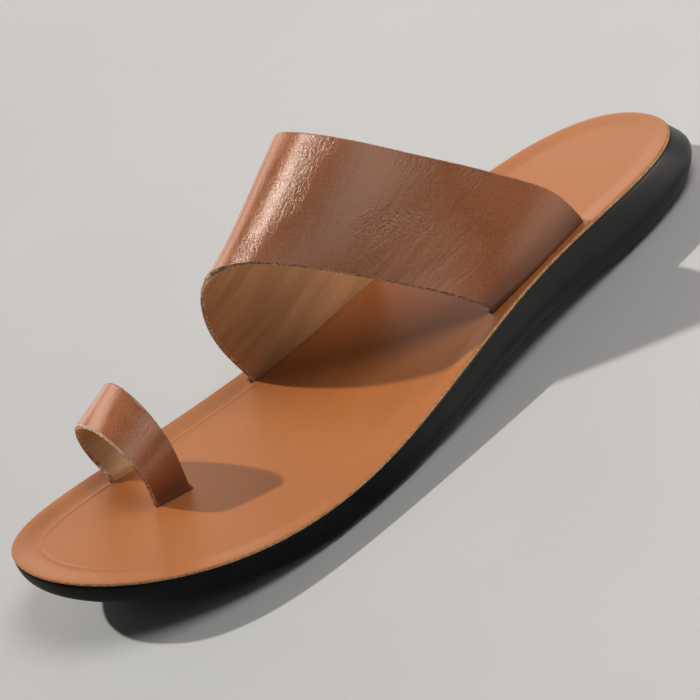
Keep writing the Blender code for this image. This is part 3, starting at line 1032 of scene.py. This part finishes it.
def grained_roughness(tree, tone, grain, deep, pale):
    """Roughness that follows the tone and is a little higher on the grain."""
    by_tone = ramp(tree, tone["Share"], 0.0, 1.0, deep, pale)
    return maths(tree, 'ADD', by_tone, scaled(tree, grain["Height"], GRAIN_ROUGHNESS))


def strap_leather():
    """Semi-gloss brown leather with fine grain, pores, creases and cloudy dye, painted shade in the
    crease troughs and by the slits, and a painted highlight on the crease lips.
    """
    material, tree, shader, place = new_material("brown strap leather")
    grain = place_group(tree, grain_group, {"Place": place, "Cells per metre": 1700.0})
    tone = place_group(tree, tone_group, {"Place": place, "Patches per metre": 34.0})
    flat = point_values(tree, "flat_leather")['Vector']
    crease = point_values(tree, "crease")['Fac']
    # Painted shade towards the slits, where the strap's lower ends sit in shade
    by_slit_shade = point_values(tree, "painted_slit_shade")['Fac']
    streaks = place_group(tree, streak_group, {
        "Flat place": flat, "Streaks per metre": 190.0, "Stretch": 0.25,
    })
    parts = add_node(tree, 'ShaderNodeSeparateXYZ', {0: flat}).outputs
    pulled_flat = add_node(tree, 'ShaderNodeCombineXYZ', {
        0: parts['X'], 1: scaled(tree, parts['Y'], PAD_STRETCH),
    }).outputs[0]
    folds = net_folds(tree, pulled_flat, parts['Z'], pads=880.0)
    body = blend(tree, tone["Share"], *STRAP_TONES)
    pored = blend(tree, scaled(tree, grain["Pores"], STRAP_PORE_SHARE), body, STRAP_PORE_TONE)
    # Painted shade in the crease troughs and a painted highlight on their lips
    trough_shade = ramp(tree, crease, -1.0, 0.0, TROUGH_SHADE_SHARE, 0.0)
    lip_highlight = ramp(tree, crease, 0.05, 0.5, 0.0, LIP_HIGHLIGHT_SHARE)
    crease_shade_and_highlight = blend(tree, lip_highlight, blend(tree, trough_shade, pored, TROUGH_SHADE_TONE), LIP_HIGHLIGHT_TONE)
    rough = grained_roughness(tree, tone, grain, deep=0.16, pale=0.20)
    pulled = bump(tree, streaks["Streaks"], strength=0.08, distance=0.0006)
    folded = maths(tree, 'SUBTRACT', 1.0, folds)
    wrinkled = bump(tree, folded, pulled, strength=0.36, distance=0.0002)
    set_inputs(tree, shader, {
        "Base Color": blend(tree, scaled(tree, by_slit_shade, SLIT_SHADE_SHARE), crease_shade_and_highlight, SLIT_SHADE_TONE),
        "Roughness": maths(tree, 'ADD', rough, scaled(tree, by_slit_shade, SLIT_ROUGHNESS)),
        "Coat Weight": ramp(tree, by_slit_shade, 0.0, 1.0, 0.2, 0.0),
        "Normal": bump(tree, grain["Height"], wrinkled, strength=0.12, distance=0.00025),
        "Specular IOR Level": 1.0,
        "Specular Tint": (1.0, 0.84, 0.72, 1.0),
        "Coat Roughness": 0.24,
        "Coat IOR": 1.8,
        "Sheen Weight": 0.12,
        "Sheen Roughness": 0.4,
        "Sheen Tint": (1.0, 0.80, 0.70, 1.0),
    })
    return material


def strap_lining():
    """Matte tan lining leather with soft pulled streaks, their paler bands partly painted sheen on folds,
    and painted lighter towards its rear edge as light that comes in under the band.
    """
    material, tree, shader, place = new_material("tan lining leather")
    grain = place_group(tree, grain_group, {"Place": place, "Cells per metre": 900.0})
    flat = point_values(tree, "flat_leather")['Vector']
    streaks = place_group(tree, streak_group, {
        "Flat place": flat, "Streaks per metre": 90.0, "Stretch": 0.16, "Slant": 0.25,
    })
    behind = add_node(tree, 'ShaderNodeSeparateXYZ', {0: flat}).outputs['Y']
    # Paler on the streaks, partly as painted sheen, and painted lighter away from the front edge as light
    # from the rear opening
    pale = maths(tree, 'ADD', scaled(tree, streaks["Streaks"], 0.5),
                 ramp(tree, behind, *LINING_LIT_RUN, 0.0, 0.5))
    soft = bump(tree, streaks["Streaks"], strength=0.25, distance=0.0008)
    set_inputs(tree, shader, {
        "Base Color": blend(tree, pale, *LINING_TONES),
        "Roughness": 0.62,
        "Normal": bump(tree, grain["Height"], soft, strength=0.20, distance=0.0002),
    })
    return material


def raw_cut_edge(name, tones):
    """Raw cut edge with torn fibres between a deep and a pale tone."""
    material, tree, shader, place = new_material(name)
    fibre = place_group(tree, fibre_group, {"Place": place, "Tufts per metre": 1000.0})
    set_inputs(tree, shader, {
        "Base Color": blend(tree, fibre["Tufts"], *tones),
        "Roughness": 0.85,
        "Normal": bump(tree, fibre["Height"], strength=0.7, distance=0.0005),
    })
    return material


def footbed_leather():
    """Smooth orange-tan leather with a very fine grain, puckered at the toe."""
    material, tree, shader, place = new_material("orange-tan footbed leather")
    grain = place_group(tree, grain_group, {"Place": place, "Cells per metre": 2400.0})
    tone = place_group(tree, tone_group, {"Place": place, "Patches per metre": 22.0})
    body = blend(tree, tone["Share"], *FOOTBED_TONES)
    pored = blend(tree, scaled(tree, grain["Pores"], FOOTBED_PORE_SHARE), body, FOOTBED_PORE_TONE)
    over_fold = add_node(tree, 'ShaderNodeMapping', {
        'Vector': place, 'Location': TOE_FOLD_PLACE, 'Scale': TOE_FOLD_REACH,
        'Rotation': (0.0, 0.0, math.radians(TOE_FOLD_TURN)),
    }, vector_type='TEXTURE')
    from_fold = add_node(tree, 'ShaderNodeVectorMath', {0: over_fold.outputs[0]}, operation='LENGTH')
    by_toe_fold = ramp(tree, from_fold.outputs['Value'], *TOE_FOLD_FADE, 1.0, 0.0)
    folds = net_folds(tree, place, by_toe_fold, pads=900.0)
    puckered = bump(tree, folds, strength=0.4, distance=0.0002)
    set_inputs(tree, shader, {
        "Base Color": blend(tree, scaled(tree, folds, TOE_FOLD_SHARE), pored, TOE_FOLD_TONE),
        "Roughness": grained_roughness(tree, tone, grain, deep=0.44, pale=0.50),
        "Normal": bump(tree, grain["Height"], puckered, strength=0.10, distance=0.0002),
        "Specular Tint": (1.0, 0.86, 0.72, 1.0),
    })
    return material


def sole_rubber(name, roughness, texture_scale):
    """Black rubber with a fine moulded texture and a slightly cloudy tone, satin towards the heel."""
    material, tree, shader, place = new_material(name)
    tone = place_group(tree, tone_group, {"Place": place, "Patches per metre": 60.0})
    texture = noise(tree, place, texture_scale, roughness=0.6)
    backward = add_node(tree, 'ShaderNodeSeparateXYZ', {0: place}).outputs['Y']
    set_inputs(tree, shader, {
        "Base Color": blend(tree, tone["Share"], *RUBBER_TONES),
        "Roughness": maths(tree, 'ADD', scaled(tree, texture, RUBBER_ROUGHNESS),
                           roughness - 0.5 * RUBBER_ROUGHNESS),
        "Normal": bump(tree, texture, strength=0.12, distance=0.0003),
        "Specular IOR Level": 0.11,
        "Coat Weight": ramp(tree, backward, *SATIN_RUN, 0.0, 0.66),
        "Coat Roughness": 0.42,
    })
    return material


def make_floor():
    """Plain pale floor just under the sole, large enough to fill the picture."""
    bpy.ops.mesh.primitive_plane_add(size=FLOOR_SIDE, location=(0.0, 0.0, -FLOOR_DROP))
    floor = bpy.context.object
    floor.name = "floor"
    material, tree, shader, place = new_material("pale floor")
    cloud = place_group(tree, tone_group, {"Place": place, "Patches per metre": 9.0})
    set_inputs(tree, shader, {
        "Base Color": blend(tree, cloud["Share"], *FLOOR_TONES),
        "Roughness": 0.8,
    })
    floor.data.materials.append(material)


def place_camera():
    data = bpy.data.cameras.new("camera")
    data.sensor_width = SENSOR_WIDTH
    data.lens = FOCAL_PIXELS * SENSOR_WIDTH / IMAGE_SIDE
    data.clip_start, data.clip_end = CAMERA_CLIP
    camera = add_object("camera", data)
    camera.location = CAMERA_PLACE
    camera.rotation_euler = Euler([math.radians(turn) for turn in CAMERA_TURN])
    bpy.context.scene.camera = camera


def toward(azimuth, height):
    """Unit vector towards a light: azimuth from the toe round to the lateral side, in degrees."""
    turn = math.radians(azimuth)
    rise = math.radians(height)
    return Vector((math.cos(rise) * math.sin(turn), -math.cos(rise) * math.cos(turn), math.sin(rise)))


def add_light(name, kind, azimuth, height, energy, colour, **settings):
    data = bpy.data.lights.new(name, kind)
    data.energy = energy
    data.color = colour
    for key, value in settings.items():
        setattr(data, key, value)
    light = add_object(name, data)
    direction = toward(azimuth, height)
    light.location = direction * LIGHT_DISTANCE
    light.rotation_euler = direction.to_track_quat('Z', 'Y').to_euler()
    return light


def light_studio():
    key = add_light("key", 'SUN', KEY_AZIMUTH, KEY_HEIGHT, KEY_STRENGTH, WARM,
                    angle=math.radians(KEY_SPREAD))
    key.visible_glossy = False
    for row in STUDIO_LIGHTS:
        light = add_light(row.name, 'AREA', row.azimuth, row.height, row.power, row.colour,
                          shape='RECTANGLE', size=row.size[0], size_y=row.size[1])
        light.visible_diffuse = not row.for_sheen
    world = bpy.data.worlds.new("studio")
    world.use_nodes = True
    sky = world.node_tree.nodes["Background"]
    sky.inputs["Color"].default_value = SKY_COLOUR
    sky.inputs["Strength"].default_value = SKY_STRENGTH
    bpy.context.scene.world = world
    bpy.context.scene.view_settings.view_transform = 'Standard'


def fit(piece, node):
    """The piece stands in for a solid of the frame: it hangs from the root and the solid is hidden."""
    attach(piece, "root")
    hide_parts(node)


def make_strap(strap, names, node, clusters, finishes):
    leather, lining, raw_edge, leather_cut_edge, front_edge = finishes
    lining_girth = int(strap.girth_steps * LINING_SHARE)
    lining_width = int(strap.width_steps * LINING_SHARE)
    outer = make_layer(names[0], strap, GLUE_LINE, strap.leather,
                       (leather, front_edge, raw_edge, leather_cut_edge),
                       (strap.girth_steps, strap.width_steps, GLUE_SIDE_STEPS),
                       strap.leather_cuts, clusters)
    inner = make_layer(names[1], strap, -strap.lining, -GLUE_LINE,
                       (raw_edge, raw_edge, lining, leather_cut_edge),
                       (lining_girth, GLUE_SIDE_STEPS, lining_width), LINING_CUTS)
    fit(outer, node)
    fit(inner, node)


def dress():
    wall = sole_rubber("satin sole wall", roughness=0.50, texture_scale=1500.0)
    tread = sole_rubber("matte tread", roughness=0.72, texture_scale=900.0)
    fit(make_sole(wall, tread), "outsole")
    footbed_edge = raw_cut_edge("footbed cut edge", FOOTBED_EDGE_TONES)
    footbed = make_footbed(footbed_leather(), footbed_edge)
    cut_slits(footbed)
    fit(footbed, "footbed")
    raw_edge = raw_cut_edge("lining cut edge", LINING_EDGE_TONES)
    leather_cut_edge = raw_cut_edge("leather cut edge", LEATHER_EDGE_TONES)
    # A lighter copy of the cut-edge finish for the band's front edge, painted light on an edge in shade
    band_edge_lit = raw_cut_edge("band front edge", BAND_FRONT_LIT_TONES)
    finishes = (strap_leather(), strap_lining(), raw_edge, leather_cut_edge)
    make_strap(BAND, ("band_leather", "band_lining"), "instep_band", BAND_CREASES, (*finishes, band_edge_lit))
    make_strap(RING, ("ring_leather", "ring_lining"), "toe_ring", RING_CREASES, (*finishes, raw_edge))


dress()
make_floor()
place_camera()
light_studio()
